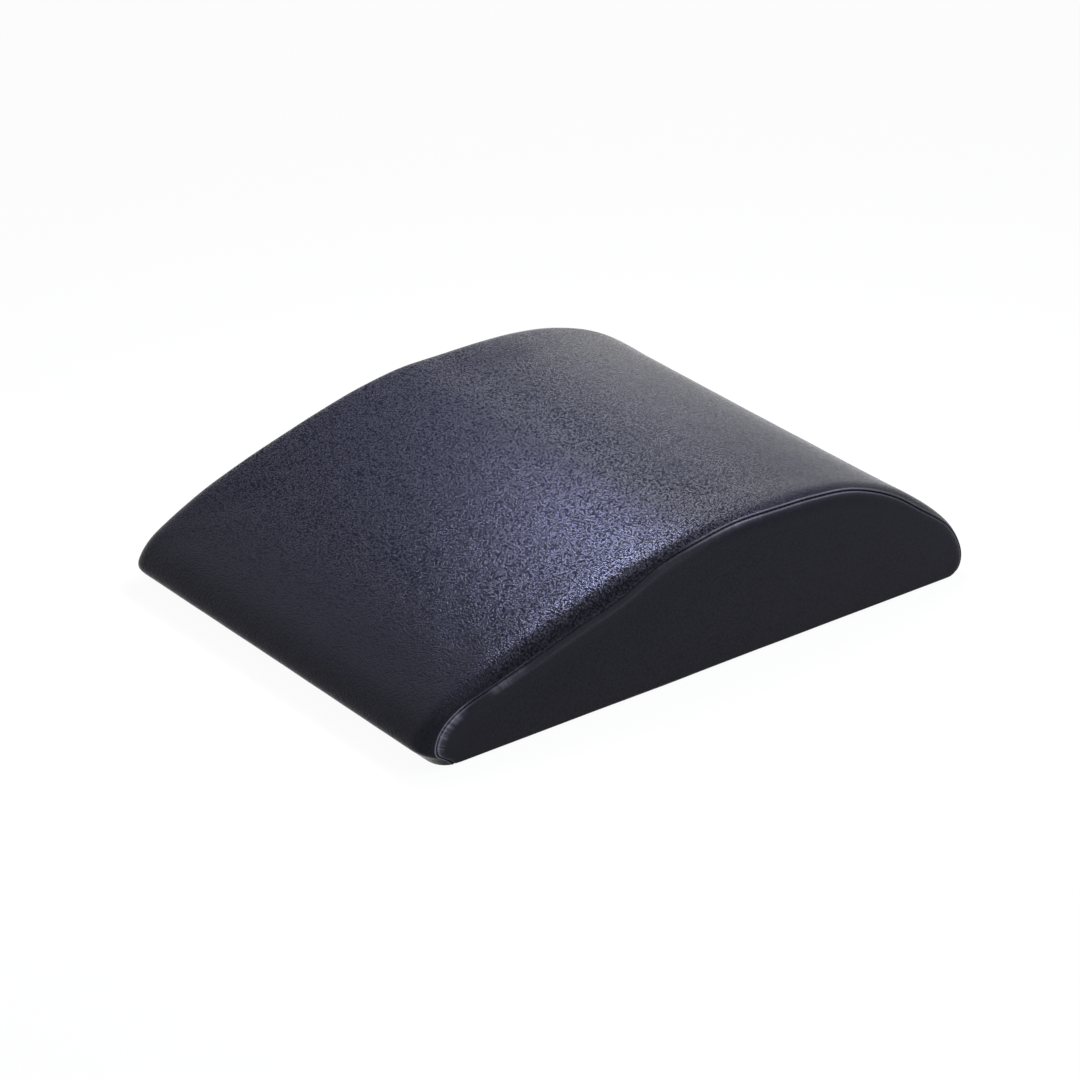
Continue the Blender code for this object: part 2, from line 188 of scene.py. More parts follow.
    def side(self, run: Array, reach: Array, sign: int) -> tuple[Array, Array]:
        """Points and normals past the start of the rounding.

        Args:
            run: distance over the outline, of shape (stations, 1).
            reach: distance over the surface across it, of shape (stations, columns).
            sign: 1 for the right end and -1 for the left one.

        Returns:
            Points and outward unit normals, each of shape (stations, columns, 3).
        """
        run = np.broadcast_to(run, reach.shape)
        radius = self.radius(run)
        turn = np.clip(reach / self.quarter(run), 0, 1) * pi / 2
        power = 2 / self.squareness
        down, over = np.maximum(np.cos(turn), 0), np.sin(turn)
        inset = radius * (1 - down ** power) + np.maximum(reach - self.quarter(run), 0)
        inward = self.inward(run)
        spot = self.sample(run, self.spots) + inward * inset[..., None]
        normal = unit(self.sample(run, self.normals))
        ahead = -(inward * normal).sum(axis=-1)
        across = self.width / 2 - radius * (1 - over ** power)
        points = np.stack([sign * across, spot[..., 0], spot[..., 1]], axis=-1)
        facing = np.stack([sign * over ** (2 - power) * ahead, normal[..., 0] * down ** (2 - power),
                           normal[..., 1] * down ** (2 - power)], axis=-1)
        return points, unit(facing)

    def inner_share(self, run: Array, across: Array) -> Array:
        """How far the crown may sink or swell: 0 beside the two roundings, 1 well inside them."""
        inland = (self.width / 2 - self.radius(run)) * (1 - np.abs(across))
        return 1 - bell(inland, 0, self.saddle_reach)

    def crown(self, run: Array, across: Array) -> tuple[Array, Array]:
        """Points and normals of the crown between the two roundings.

        Args:
            run: distance over the outline, of shape (stations, 1).
            across: share from -1 to 1 of the way between the roundings, of shape (1, columns).

        Returns:
            Points and outward unit normals, each of shape (stations, columns, 3).
        """
        run, across = np.broadcast_arrays(run, across)
        flat = self.width / 2 - self.radius(run)
        spot = self.sample(run, self.spots)
        rise = (spot[..., 1] - self.floor) / (self.height - self.floor)
        sunk = self.saddle * rise * self.inner_share(run, across)
        spot = spot + self.inward(run) * sunk[..., None]
        normal = self.sample(run, self.normals)
        points = np.stack([across * flat, spot[..., 0], spot[..., 1]], axis=-1)
        facing = np.stack([np.zeros(run.shape), normal[..., 0], normal[..., 1]], axis=-1)
        return points, unit(facing)


@dataclass
class SeamRelief:
    """The sunk seam between cover and end panel, and the puckers that its stitches pull.

    The tables give a strength at shares of the outline's length, from the nose to the back.
    """

    form: PadForm
    groove_depth: float = 1.5 * MM
    cover_fall: float = 0.9 * MM
    lip_place: float = 1.3 * MM
    lip_width: float = 0.7 * MM
    lip_rise: float = 0.30 * MM
    panel_shoulder: float = 6.5 * MM
    panel_fall: float = 0.8 * MM
    pucker_pitch: float = 1.5 * MM
    pucker_width: float = 0.38 * MM
    pucker_length: float = 6.0 * MM
    pucker_depth: float = 0.40 * MM
    pucker_widening: float = 0.6
    cover_pucker_share: float = 0.35
    streak_pitch: float = 1.1 * MM
    pitch_spread: Pair = (0.55, 1.45)
    depth_spread: Pair = (0.35, 1.0)
    slant: float = 0.25
    shoulder_least: float = 0.45
    shoulder_share: float = 0.75
    fall_share: float = 0.4
    # the sizes of the lip, rim and ridge lines and of the fading are those of the painted highlight beside the seam
    lip_highlight_even: float = 0.7
    highlight_even: float = 0.15
    ridge_highlight: float = 0.05
    lip_highlight_place: float = 1.05 * MM
    lip_highlight_width: float = 0.42 * MM
    rim_place: float = 1.3 * MM
    rim_width: float = 0.5 * MM
    rim_share: float = 0.5
    pucker_window: float = 5.0
    pucker_fade: float = 1.5
    pucker_gain: float = 1.2
    highlight_fade: float = 0.8
    streak_fade: float = 1.5
    highlight_length: float = 0.85
    highlight_start: float = 0.25
    seed: int = 7
    groove_table: Table = (
        (0.00, 0.5), (0.03, 1.0), (0.108, 1.0), (0.13, 0.35), (0.18, 0.4), (0.22, 0.12), (0.42, 0.12),
        (0.48, 0.8), (0.60, 1.0), (0.78, 0.8), (0.90, 0.45), (1.00, 0.4),
    )
    pucker_table: Table = (
        (0.00, 0.2), (0.04, 0.5), (0.055, 1.0), (0.100, 1.0), (0.115, 0.3), (0.145, 0.3), (0.165, 0.65),
        (0.185, 0.6), (0.215, 0.2), (0.40, 0.1), (0.42, 0.3), (0.48, 0.3), (0.53, 0.4), (0.57, 0.4),
        (0.59, 0.2), (0.64, 0.3), (0.66, 0.15), (1.00, 0.2),
    )
    # strength of the painted highlight along the lip, from the nose to the back
    lip_highlight_table: Table = (
        (0.00, 0.2), (0.035, 1.0), (0.108, 0.9), (0.13, 0.2), (0.20, 0.2), (0.23, 0.05), (0.45, 0.05),
        (0.49, 0.7), (0.70, 0.8), (0.78, 0.5), (0.88, 0.3), (1.00, 0.1),
    )
    ridge_place: float = 3.0 * MM
    ridge_width: float = 1.9 * MM
    ridge_rise: float = 0.7 * MM
    ridge_table: Table = (
        (0.00, 0.0), (0.14, 0.0), (0.18, 0.7), (0.24, 1.0), (0.44, 1.0), (0.52, 0.7), (0.75, 0.5), (0.82, 0.0),
        (1.00, 0.0),
    )

    def __post_init__(self) -> None:
        """Draw the places, depths and lengths of the puckers from the fixed seed."""
        draw = np.random.default_rng(self.seed)
        count = int(self.form.total / self.pucker_pitch)
        self.places = np.cumsum(draw.uniform(*self.pitch_spread, count) * self.pucker_pitch)
        self.depths = draw.uniform(*self.depth_spread, count)
        self.lengths = draw.uniform(*self.depth_spread, count) * self.pucker_length
        self.slants = draw.uniform(-self.slant, self.slant, count)
        self.streaks = draw.uniform(0.0, 1.0, int(self.form.total / self.streak_pitch) + 2)

    def strength(self, run: Array, table: Table) -> Array:
        """Strength that a table gives at distances over the outline."""
        places, values = np.array(table).T
        return np.interp(run / self.form.total, places, values)

    def puckers(self, run: Array, away: Array, reach_share: float) -> Array:
        """Puckers at a distance away from the seam, as shares of their full depth.

        Args:
            run: distance over the outline, of shape (stations, 1).
            away: distance from the seam, of shape (stations, columns).
            reach_share: share of their length that the puckers have on this side of the seam.

        Returns:
            Share from 0 to about 1, of shape (stations, columns).
        """
        depth = np.zeros(np.broadcast_shapes(run.shape, away.shape))
        strengths = self.strength(self.places, self.pucker_table) * self.depths
        for place, deep, length, slant in zip(self.places, strengths, self.lengths, self.slants):
            near = np.abs(run[:, 0] - place) < self.pucker_window * self.pucker_width + self.slant * self.pucker_length
            if not near.any():
                continue
            off = run[near] - place - slant * away[near]
            fade = np.clip(1 - away[near] / (length * reach_share), 0, 1) ** self.pucker_fade
            widen = self.pucker_width * (1 + self.pucker_widening * away[near] / self.pucker_length)
            depth[near] += deep * fade * bell(off, 0, widen)
        return depth

    def cover_dip(self, run: Array, away: Array) -> Array:
        """Depth of the cover's surface near its seam: a raised lip, then the fall into the seam."""
        fall = np.clip(1 - away / self.cover_fall, 0, 1) ** 2
        lip = bell(away, self.lip_place, self.lip_width)
        groove = self.strength(run, self.groove_table)
        return (groove * (self.groove_depth * fall - self.lip_rise * lip)
                + self.pucker_depth * self.puckers(run, away, self.cover_pucker_share))

    def panel_dip(self, run: Array, away: Array) -> Array:
        """Depth of an end panel's surface near its seam: a full shoulder that turns down into the seam."""
        turn = np.clip(1 - away / self.panel_shoulder, 0, 1)
        shoulder = 1 - np.sqrt(1 - turn ** 2)
        fall = np.clip(1 - away / self.panel_fall, 0, 1) ** 2
        groove = self.strength(run, self.groove_table)
        return (self.groove_depth * (np.maximum(groove, self.shoulder_least) * self.shoulder_share * shoulder
                                     + self.fall_share * groove * fall)
                + self.pucker_depth * self.puckers(run, away, 1.0)
                - self.ridge_rise * self.ridge(run, away))

    def ridge(self, run: Array, away: Array) -> Array:
        """Soft ridge where the panel's turned-in edge lies under its face, from 0 to 1."""
        return self.strength(run, self.ridge_table) * bell(away, self.ridge_place, self.ridge_width)

    def cover_highlight(self, run: Array, away: Array) -> Array:
        """Painted highlight along the lip beside the groove, from 0 to 1."""
        line = bell(away, self.lip_highlight_place, self.lip_highlight_width)
        return self.strength(run, self.lip_highlight_table) * line * (self.lip_highlight_even + (1 - self.lip_highlight_even) * self.streak(run))

    def panel_highlight(self, run: Array, away: Array) -> Array:
        """Painted highlight on the panel between the puckers, along its rim line and on its ridge, from 0 to 1."""
        fade = np.clip(1 - away / (self.highlight_length * self.pucker_length), 0, 1) ** self.highlight_fade
        ridges = np.clip(1 - self.pucker_gain * self.puckers(run, away, 1.0), 0, 1)
        pulled = np.clip(self.strength(run, self.pucker_table) - self.highlight_start, 0, 1) / (1 - self.highlight_start)
        line = bell(away, self.rim_place, self.rim_width) * self.strength(run, self.lip_highlight_table) * self.rim_share
        uneven = self.highlight_even + (1 - self.highlight_even) * self.streak(run) ** self.streak_fade
        return np.clip(pulled * fade * ridges * uneven + line + self.ridge_highlight * self.ridge(run, away), 0, 1)

    def streak(self, run: Array) -> Array:
        """Uneven strength of the painted highlight from one stitch to the next, from 0 to 1."""
        return np.interp(run / self.streak_pitch, np.arange(len(self.streaks)), self.streaks)


@dataclass
class CoverFill:
    """How far the foam pushes the cover out: cloth that starts smaller, held at seams and edges, under pressure."""

    form: PadForm
    rows: int = 56
    columns: int = 31
    start_lower: float = 1.2 * MM
    edge_reach: float = 40 * MM
    cap: float = 6.0 * MM
    share: float = 0.5
    frames: int = 20
    pressure: float = 4.0
    stiffness: float = 40.0
    bending: float = 2.0
    quality: int = 6
    mass: float = 0.3
    swell: Array = field(default_factory=lambda: np.zeros((2, 2)))

    def build(self) -> None:
        """Run the cloth simulation and keep how far each point of its grid ends from the form."""
        run = np.linspace(0, self.form.total, self.rows)[:, None]
        across = np.linspace(-1, 1, self.columns)[None]
        points, normals = self.form.crown(run, across)
        edge = np.clip(np.minimum(run, self.form.total - run) / self.edge_reach, 0, 1)
        lower = self.start_lower * (1 - across ** 2) * np.sin(edge * pi / 2) ** 2
        start = points - normals * lower[..., None]
        number = np.arange(start[..., 0].size).reshape(self.rows, self.columns)
        mesh = plain_mesh("cover_cloth", start, grid_faces(number))
        cloth_piece = placed("cover_cloth", mesh)
        held = cloth_piece.vertex_groups.new(name="held")
        rim = np.concatenate([number[0], number[-1], number[:, 0], number[:, -1]])
        held.add([int(point) for point in np.unique(rim)], 1.0, "REPLACE")
        cloth = cloth_piece.modifiers.new("cloth", "CLOTH")
        values = {"quality": self.quality, "mass": self.mass, "tension_stiffness": self.stiffness,
                  "compression_stiffness": self.stiffness, "shear_stiffness": self.stiffness / 2,
                  "bending_stiffness": self.bending, "use_pressure": True,
                  "uniform_pressure_force": self.pressure, "vertex_group_mass": "held"}
        for name, value in values.items():
            setattr(cloth.settings, name, value)
        cloth.settings.effector_weights.gravity = 0.0
        cloth.point_cache.frame_start, cloth.point_cache.frame_end = 1, self.frames
        first = bpy.context.scene.frame_current
        for step in range(1, self.frames + 1):
            bpy.context.scene.frame_set(step)
        filled = cloth_piece.evaluated_get(bpy.context.evaluated_depsgraph_get()).data
        moved = np.empty(len(filled.vertices) * 3)
        filled.vertices.foreach_get("co", moved)
        shift = ((moved.reshape(points.shape) - start) * normals).sum(axis=-1)
        shift = np.clip(shift, -self.cap, self.cap) - lower
        # the outline is the photographed one, so the middle of the cloth is put back onto it
        middle = shift[:, self.columns // 2, None]
        self.swell = (shift - middle * self.form.inner_share(run, across)) * self.share
        bpy.context.scene.frame_set(first)
        bpy.data.objects.remove(cloth_piece, do_unlink=True)
        bpy.data.meshes.remove(mesh)
        log.info("cover_cloth: moved by %.2f mm at most, ends %.2f to %.2f mm from the form",
                 np.abs(shift).max() / MM, self.swell.min() / MM, self.swell.max() / MM)

    def at(self, run: Array, across: Array) -> Array:
        """Distance from the form on a grid of stations and columns."""
        rows, columns = self.swell.shape
        along = cubic_weights(run[:, 0] / self.form.total * (rows - 1), rows)
        beside = cubic_weights((across[0] + 1) / 2 * (columns - 1), columns)
        return along @ self.swell @ beside.T


def cubic_weights(places: Array, count: int) -> Array:
    """Weights of a smooth curve through evenly spaced values.

    Args:
        places: where to read the curve, from 0 to count - 1.
        count: number of values.

    Returns:
        Weights of shape (places, count).
    """
    index = np.clip(places.astype(int), 0, count - 2)
    step = places - index
    parts = (-0.5 * step + step ** 2 - 0.5 * step ** 3, 1 - 2.5 * step ** 2 + 1.5 * step ** 3,
             0.5 * step + 2 * step ** 2 - 1.5 * step ** 3, -0.5 * step ** 2 + 0.5 * step ** 3)
    weights = np.zeros((len(places), count))
    for shift, part in zip((-1, 0, 1, 2), parts):
        np.add.at(weights, (np.arange(len(places)), np.clip(index + shift, 0, count - 1)), part)
    return weights


def stations(form: PadForm) -> Array:
    """Distances over the outline: finest at the bottom edges and where the seam puckers."""
    edge = np.linspace(0, EDGE_SPAN, 5)
    between = np.concatenate([np.arange(start * MM, stop * MM, pitch * MM) for start, stop, pitch in STATION_SPANS])
    return np.concatenate([edge, between[between < form.total - LAST_GAP], form.total - edge[::-1]])[:, None]


def grid_faces(numbers: Array, flip: bool = False) -> Faces:
    """Quads over a grid of point numbers, turned over where flip is true."""
    quads = np.stack([numbers[:-1, :-1], numbers[:-1, 1:], numbers[1:, 1:], numbers[1:, :-1]], axis=-1)
    if flip:
        quads = quads[..., ::-1]
    return list(map(tuple, quads.reshape(-1, 4).tolist()))


class SheetBuilder:
    """Gathers the outer surface of a sheet and gives it a wall."""

    def __init__(self, name: str) -> None:
        """Start an empty sheet."""
        self.name = name
        self.groups: list[Array] = []
        self.painted_highlights: list[Array] = []
        self.faces: Faces = []

    def points(self, spots: Array, painted_highlight: Array | None = None) -> Array:
        """Add points, with the painted highlight there, and return their numbers."""
        first = sum(len(group) for group in self.groups)
        self.groups.append(spots.reshape(-1, 3))
        count = spots[..., 0].size
        self.painted_highlights.append(np.zeros(count) if painted_highlight is None else painted_highlight.reshape(-1))
        return np.arange(first, first + count).reshape(spots.shape[:-1])

    def quads(self, *blocks: Array, axis: int = 1, flip: bool = False) -> None:
        """Add the quads over blocks of point numbers that lie side by side."""
        self.faces += grid_faces(np.concatenate(blocks, axis=axis), flip)

    def build(self, thickness: float) -> Mesh:
        """Closed mesh of the outer surface, its inner copy and the border between them."""
        outer = plain_mesh(self.name, np.concatenate(self.groups), self.faces)
        outer.validate()
        outer.update()
        holder = placed(self.name, outer)
        wall = holder.modifiers.new("wall", "SOLIDIFY")
        wall.thickness, wall.offset, wall.use_even_offset = thickness, -1.0, False
        mesh = evaluated(holder)
        # the painted highlight goes with the points as an attribute that the leather's colour reads
        painted_highlight = np.tile(np.concatenate(self.painted_highlights), 2)
        layer = mesh.attributes.new("painted_highlight", "FLOAT", "POINT")
        layer.data.foreach_set("value", np.resize(painted_highlight, len(mesh.vertices)).astype(np.float32))
        return mesh


def plain_mesh(name: str, points: Array, faces: Sequence[tuple[int, ...]] = (),
               edges: Sequence[tuple[int, int]] = ()) -> Mesh:
    """New mesh of points, faces and loose edges."""
    mesh = bpy.data.meshes.new(name)
    mesh.from_pydata(points.reshape(-1, 3).tolist(), edges, faces)
    return mesh


def closed_mesh(name: str, points: Array, faces: Faces, sharp: float) -> Mesh:
    """Smooth mesh with sharp edges where its faces meet at more than some degrees."""
    mesh = plain_mesh(name, points, faces)
    mesh.validate()
    mesh.shade_smooth()
    mesh.set_sharp_from_angle(angle=radians(sharp))
    return mesh


def placed(name: str, data: bpy.types.ID) -> Piece:
    """New object of the scene that holds some data."""
    piece = bpy.data.objects.new(name, data)
    bpy.context.scene.collection.objects.link(piece)
    return piece


def evaluated(holder: Piece) -> Mesh:
    """Plain mesh of an object with its modifiers run; the object and its own mesh are removed."""
    name, source = holder.name, holder.data
    bpy.context.view_layer.update()
    mesh = bpy.data.meshes.new_from_object(holder.evaluated_get(bpy.context.evaluated_depsgraph_get()))
    bpy.data.objects.remove(holder, do_unlink=True)
    bpy.data.meshes.remove(source)
    mesh.name = name
    mesh.shade_smooth()
    return mesh


def add_piece(name: str, mesh: Mesh, material: Material) -> Piece:
    """New object at the origin that holds the mesh and its finish."""
    mesh.materials.clear()
    mesh.materials.append(material)
    return placed(name, mesh)


def dress(piece: Piece, slot: str, *nodes: str) -> None:
    """Let a piece stand for its CAD nodes and ride with the mat."""
    if nodes:
        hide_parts(*nodes)
    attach(piece, "root")
    log.info("%s: %d faces", piece.name, len(piece.data.polygons))


@dataclass(frozen=True)
class Fold:
    """Wall of the leather sheets, their rounded bottom edge and the strips folded under the board."""

    wall: float = 0.9 * MM
    width: float = 28.0 * MM
    level: float = 2.35 * MM
    rise: float = 6.0 * MM
    mitre: float = 0.1 * MM
    edge_round: float = 1.2 * MM
    crowding: float = 1.5

    def rounded(self, points: Array, outward: Array, floor: float) -> Array:
        """Pull the points near the bottom edge inwards on a quarter circle."""
        height = np.clip(points[..., 2] - floor, 0, self.edge_round)
        pull = self.edge_round - np.sqrt(np.maximum(self.edge_round ** 2 - (self.edge_round - height) ** 2, 0))
        level = outward.copy()
        level[..., 2] = 0
        return points - unit(level) * pull[..., None]

    def strips(self, edge: Array, x: Array | float, y: Array | float, count: int) -> Array:
        """Rows of points from the bottom edge to the fold's inner edge.

        Args:
            edge: points of the bottom edge, of shape (points, 3).
            x: x of the fold's inner edge, the same for all points or of shape (points,).
            y: y of the fold's inner edge, in the same way.
            count: number of rows.

        Returns:
            Points of shape (count, points, 3).
        """
        target = np.stack(np.broadcast_arrays(x, y, self.level), axis=1)
        steps = np.linspace(0, 1, count + 1)[1:] ** self.crowding
        rows = edge[None] + (target - edge)[None] * steps[:, None, None]
        width = np.linalg.norm((target - edge)[:, :2], axis=1)
        share = np.clip(steps[:, None] * width[None] / self.rise, 0, 1)
        rows[..., 2] = edge[None, :, 2] + (self.level - edge[None, :, 2]) * np.sin(share * pi / 2)
        return rows


@dataclass
class Undulation:
    """The slight unevenness of leather over foam, as a sum of low waves in fixed random directions."""

    height: float = 0.05 * MM
    shortest: float = 14 * MM
    longest: float = 46 * MM
    waves: int = 40
    seed: int = 11

    def at(self, points: Array) -> Array:
        """Height of the waves at points of the surface."""
        draw = np.random.default_rng(self.seed)
        lengths = draw.uniform(self.shortest, self.longest, self.waves)
        ways = unit(draw.normal(size=(self.waves, 3)))
        phases = draw.uniform(0, 2 * pi, self.waves)
        total = np.zeros(points.shape[:-1])
        for length, way, phase in zip(lengths, ways, phases):
            total += np.sin(points @ way * 2 * pi / length + phase) * length / self.longest
        return total * self.height / (self.waves / 2) ** 0.5


class Nodes:
    """Short way to add nodes to a tree and link them."""

    def __init__(self, tree: bpy.types.NodeTree) -> None:
        """Work on a tree."""
        self.tree = tree

    def put(self, socket: Socket, value: object) -> None:
        """Link an input to a socket, or give it a value."""
        if isinstance(value, Socket):
            self.tree.links.new(value, socket)
        else:
            socket.default_value = value

    def add(self, kind: str, *values: object, operation: str | None = None, **inputs: object) -> bpy.types.Node:
        """New node; its first inputs, and then the named ones, take values or sockets."""
        node = self.tree.nodes.new(kind)
        if operation is not None:
            node.operation = operation
        for socket, value in zip(node.inputs, values):
            self.put(socket, value)
        for name, value in inputs.items():
            self.put(node.inputs[name.replace("_", " ")], value)
        return node

    def math(self, operation: str, first: object, second: object) -> Socket:
        """Result of one operation on two sockets or numbers."""
        return self.add("ShaderNodeMath", first, second, operation=operation).outputs[0]

    def spread(self, value: Socket, span: Pair, result: Pair) -> Socket:
        """Value mapped from one span to another."""
        return self.add("ShaderNodeMapRange", value, *span, *result).outputs["Result"]

    def looked_at(self) -> Socket:
        """1 for rays of the camera, of gloss and through clear parts, and 0 for rays that light."""
        ray = self.add("ShaderNodeLightPath").outputs
        clear = self.math("MAXIMUM", ray["Is Glossy Ray"], ray["Is Transmission Ray"])
        return self.math("MAXIMUM", ray["Is Camera Ray"], clear)


class ShaderTree(Nodes):
    """Nodes of a new material around its Principled shader."""

    def __init__(self, name: str) -> None:
        """Start a material with a Principled shader and its output."""
        self.material = bpy.data.materials.new(name)
        self.material.use_nodes = True
        super().__init__(self.material.node_tree)
        self.shader = self.tree.nodes["Principled BSDF"]

    def give(self, **inputs: object) -> Material:
        """Give the shader's named inputs their values or sockets, and return the material."""
        for name, value in inputs.items():
            self.put(self.shader.inputs[name.replace("_", " ")], value)
        return self.material

    def noise(self, place: Socket, scale: float, detail: float, roughness: float = 0.5, output: str = "Fac") -> Socket:
        """Noise texture at a place."""
        node = self.add("ShaderNodeTexNoise", Vector=place, Scale=scale, Detail=detail, Roughness=roughness)
        return node.outputs[output]

    def bump(self, height: Socket, strength: float, distance: float) -> Socket:
        """Normal of a fine relief."""
        return self.add("ShaderNodeBump", Height=height, Strength=strength, Distance=distance).outputs["Normal"]

    def tones(self, value: Socket, span: Pair, colour: Triple, contrast: float) -> Socket:
        """Colour that grows lighter by its contrast while a value goes over a span."""
        node = self.add("ShaderNodeValToRGB", value)
        for element, position, gain in zip(node.color_ramp.elements, span, (1 - contrast, 1 + contrast)):
            element.position = position
            element.color = (*(min(part * gain, 1.0) for part in colour), 1)
        return node.outputs["Color"]


class Grain(Enum):
    """Which face of the same leather a piece shows, by the strength of its relief."""

    COVER = 1.0
    PANEL = 0.25


@dataclass(frozen=True)
class Leather:
    """Black artificial leather with a fine pebbled grain, painted shade and glints in its grain, and a painted
    highlight beside the seam.
    """

    name: str
    grain: Grain
    colour: Triple = (0.0080, 0.0080, 0.0115)
    # colour of the painted highlight beside the seam
    highlight_colour: Triple = (0.20, 0.20, 0.23)
    roughness: float = 0.20
    specular: float = 0.080
    tint: Triple = (0.90, 0.89, 1.0)
    cell: float = 1.25 * MM
    warp: float = 0.9
    warp_scale: float = 0.6
    fine_scale: float = 1.7
    broad_scale: float = 14.0
    relief: float = 0.34 * MM
    dome_share: float = 0.6
    fine_share: float = 0.8
    heights: Pair = (0.60, 1.0)
    cavity_shade: float = 0.95
    tone_span: float = 0.2
    valleys: Pair = (0.78, 1.00)
    nose_fade: Pair = (-195 * MM, -135 * MM)
    nose_share: float = 0.12
    back_fade: Pair = (30 * MM, 100 * MM)
    back_share: float = 0.30
    dome_glint_gain: float = 1.75
    gloss_span: float = 0.06
    broad_gloss: float = 0.02
    highlight_span: Pair = (0.25, 0.75)
    highlight_gain: Pair = (0.6, 1.2)

    def build(self) -> Material:
        """Material with grain, fine creases, painted shade and glints in the grain, and small changes of tone and
        gloss.
        """
        nodes = ShaderTree(self.name)
        place = nodes.add("ShaderNodeTexCoord").outputs["Object"]
        sway = nodes.noise(place, self.warp_scale / self.cell, 2.0, output="Color")
        spots = nodes.add("ShaderNodeVectorMath", sway, (self.warp * self.cell,) * 3, place,
                          operation="MULTIPLY_ADD")
        cells = nodes.add("ShaderNodeTexVoronoi", Vector=spots.outputs["Vector"], Scale=1 / self.cell, Randomness=1.0)
        away = cells.outputs["Distance"]
        fine = nodes.noise(place, self.fine_scale / self.cell, 3.0, 0.6)
        broad = nodes.noise(place, self.broad_scale, 4.0, 0.55)
        domes = nodes.math("SUBTRACT", 1.0, nodes.math("MULTIPLY", away, away))
        height = nodes.math("ADD", nodes.math("MULTIPLY", domes, self.dome_share),
                            nodes.math("MULTIPLY", fine, self.fine_share))
        gloss = nodes.math("ADD", nodes.spread(broad, NOISE_SPAN, (-self.broad_gloss, self.broad_gloss)),
                           nodes.spread(height, self.heights, (self.roughness + self.gloss_span,
                                                               self.roughness - self.gloss_span)))
        # the painted highlight beside the seam lightens the base colour
        painted_highlight = nodes.add("ShaderNodeAttribute")
        painted_highlight.attribute_name = "painted_highlight"
        highlight_share = nodes.math("MULTIPLY", painted_highlight.outputs["Fac"], nodes.spread(fine, self.highlight_span, self.highlight_gain))
        # base colour with painted shade in the grain's valleys and lighter domes
        tone = nodes.tones(height, self.heights, self.colour, self.tone_span)
        # painted shade in the valleys of the grain and painted glints on its domes, in the strength of the gloss
        contrast = nodes.spread(height, self.valleys, (-self.cavity_shade, self.cavity_shade * self.dome_glint_gain))
        # and this painted shade and these glints fade towards the nose and over the crest
        along = nodes.add("ShaderNodeSeparateXYZ", place).outputs["Y"]
        painted_grain_fade = nodes.math("MULTIPLY", nodes.spread(along, self.nose_fade, (self.nose_share, 1.0)),
                           nodes.spread(along, self.back_fade, (1.0, self.back_share)))
        lit = nodes.math("ADD", nodes.math("MULTIPLY", contrast, painted_grain_fade), 1.0)
        return nodes.give(Normal=nodes.bump(height, self.grain.value, self.relief), Roughness=gloss,
                          Base_Color=nodes.add("ShaderNodeMixRGB", highlight_share, tone, (*self.highlight_colour, 1)).outputs["Color"],
                          Specular_IOR_Level=nodes.math("MULTIPLY", lit, self.specular),
                          Specular_Tint=(*self.tint, 1))


@dataclass(frozen=True)
class PlainFinish:
    """Finish for what lies under the leather: foam, rubber, steel and thread."""

    name: str
    colour: Triple
    roughness: float
    metallic: float = 0.0
    scale: float = 60.0
    stretch: Triple = (1.0, 1.0, 1.0)
    contrast: float = 0.25
    relief: float = 0.05 * MM
    strength: float = 0.4
    gloss_span: float = 0.05

    def build(self) -> Material:
        """Material with a tone that varies and a fine relief."""
        nodes = ShaderTree(self.name)
        place = nodes.add("ShaderNodeTexCoord").outputs["Object"]
        place = nodes.add("ShaderNodeMapping", Vector=place, Scale=self.stretch).outputs["Vector"]
        noise = nodes.noise(place, self.scale, 5.0, 0.6)
        span = (self.roughness - self.gloss_span, min(self.roughness + self.gloss_span, 1.0))
        return nodes.give(Base_Color=nodes.tones(noise, NOISE_SPAN, self.colour, self.contrast),
                          Normal=nodes.bump(noise, self.strength, self.relief),
                          Roughness=nodes.spread(noise, NOISE_SPAN, span), Metallic=self.metallic)


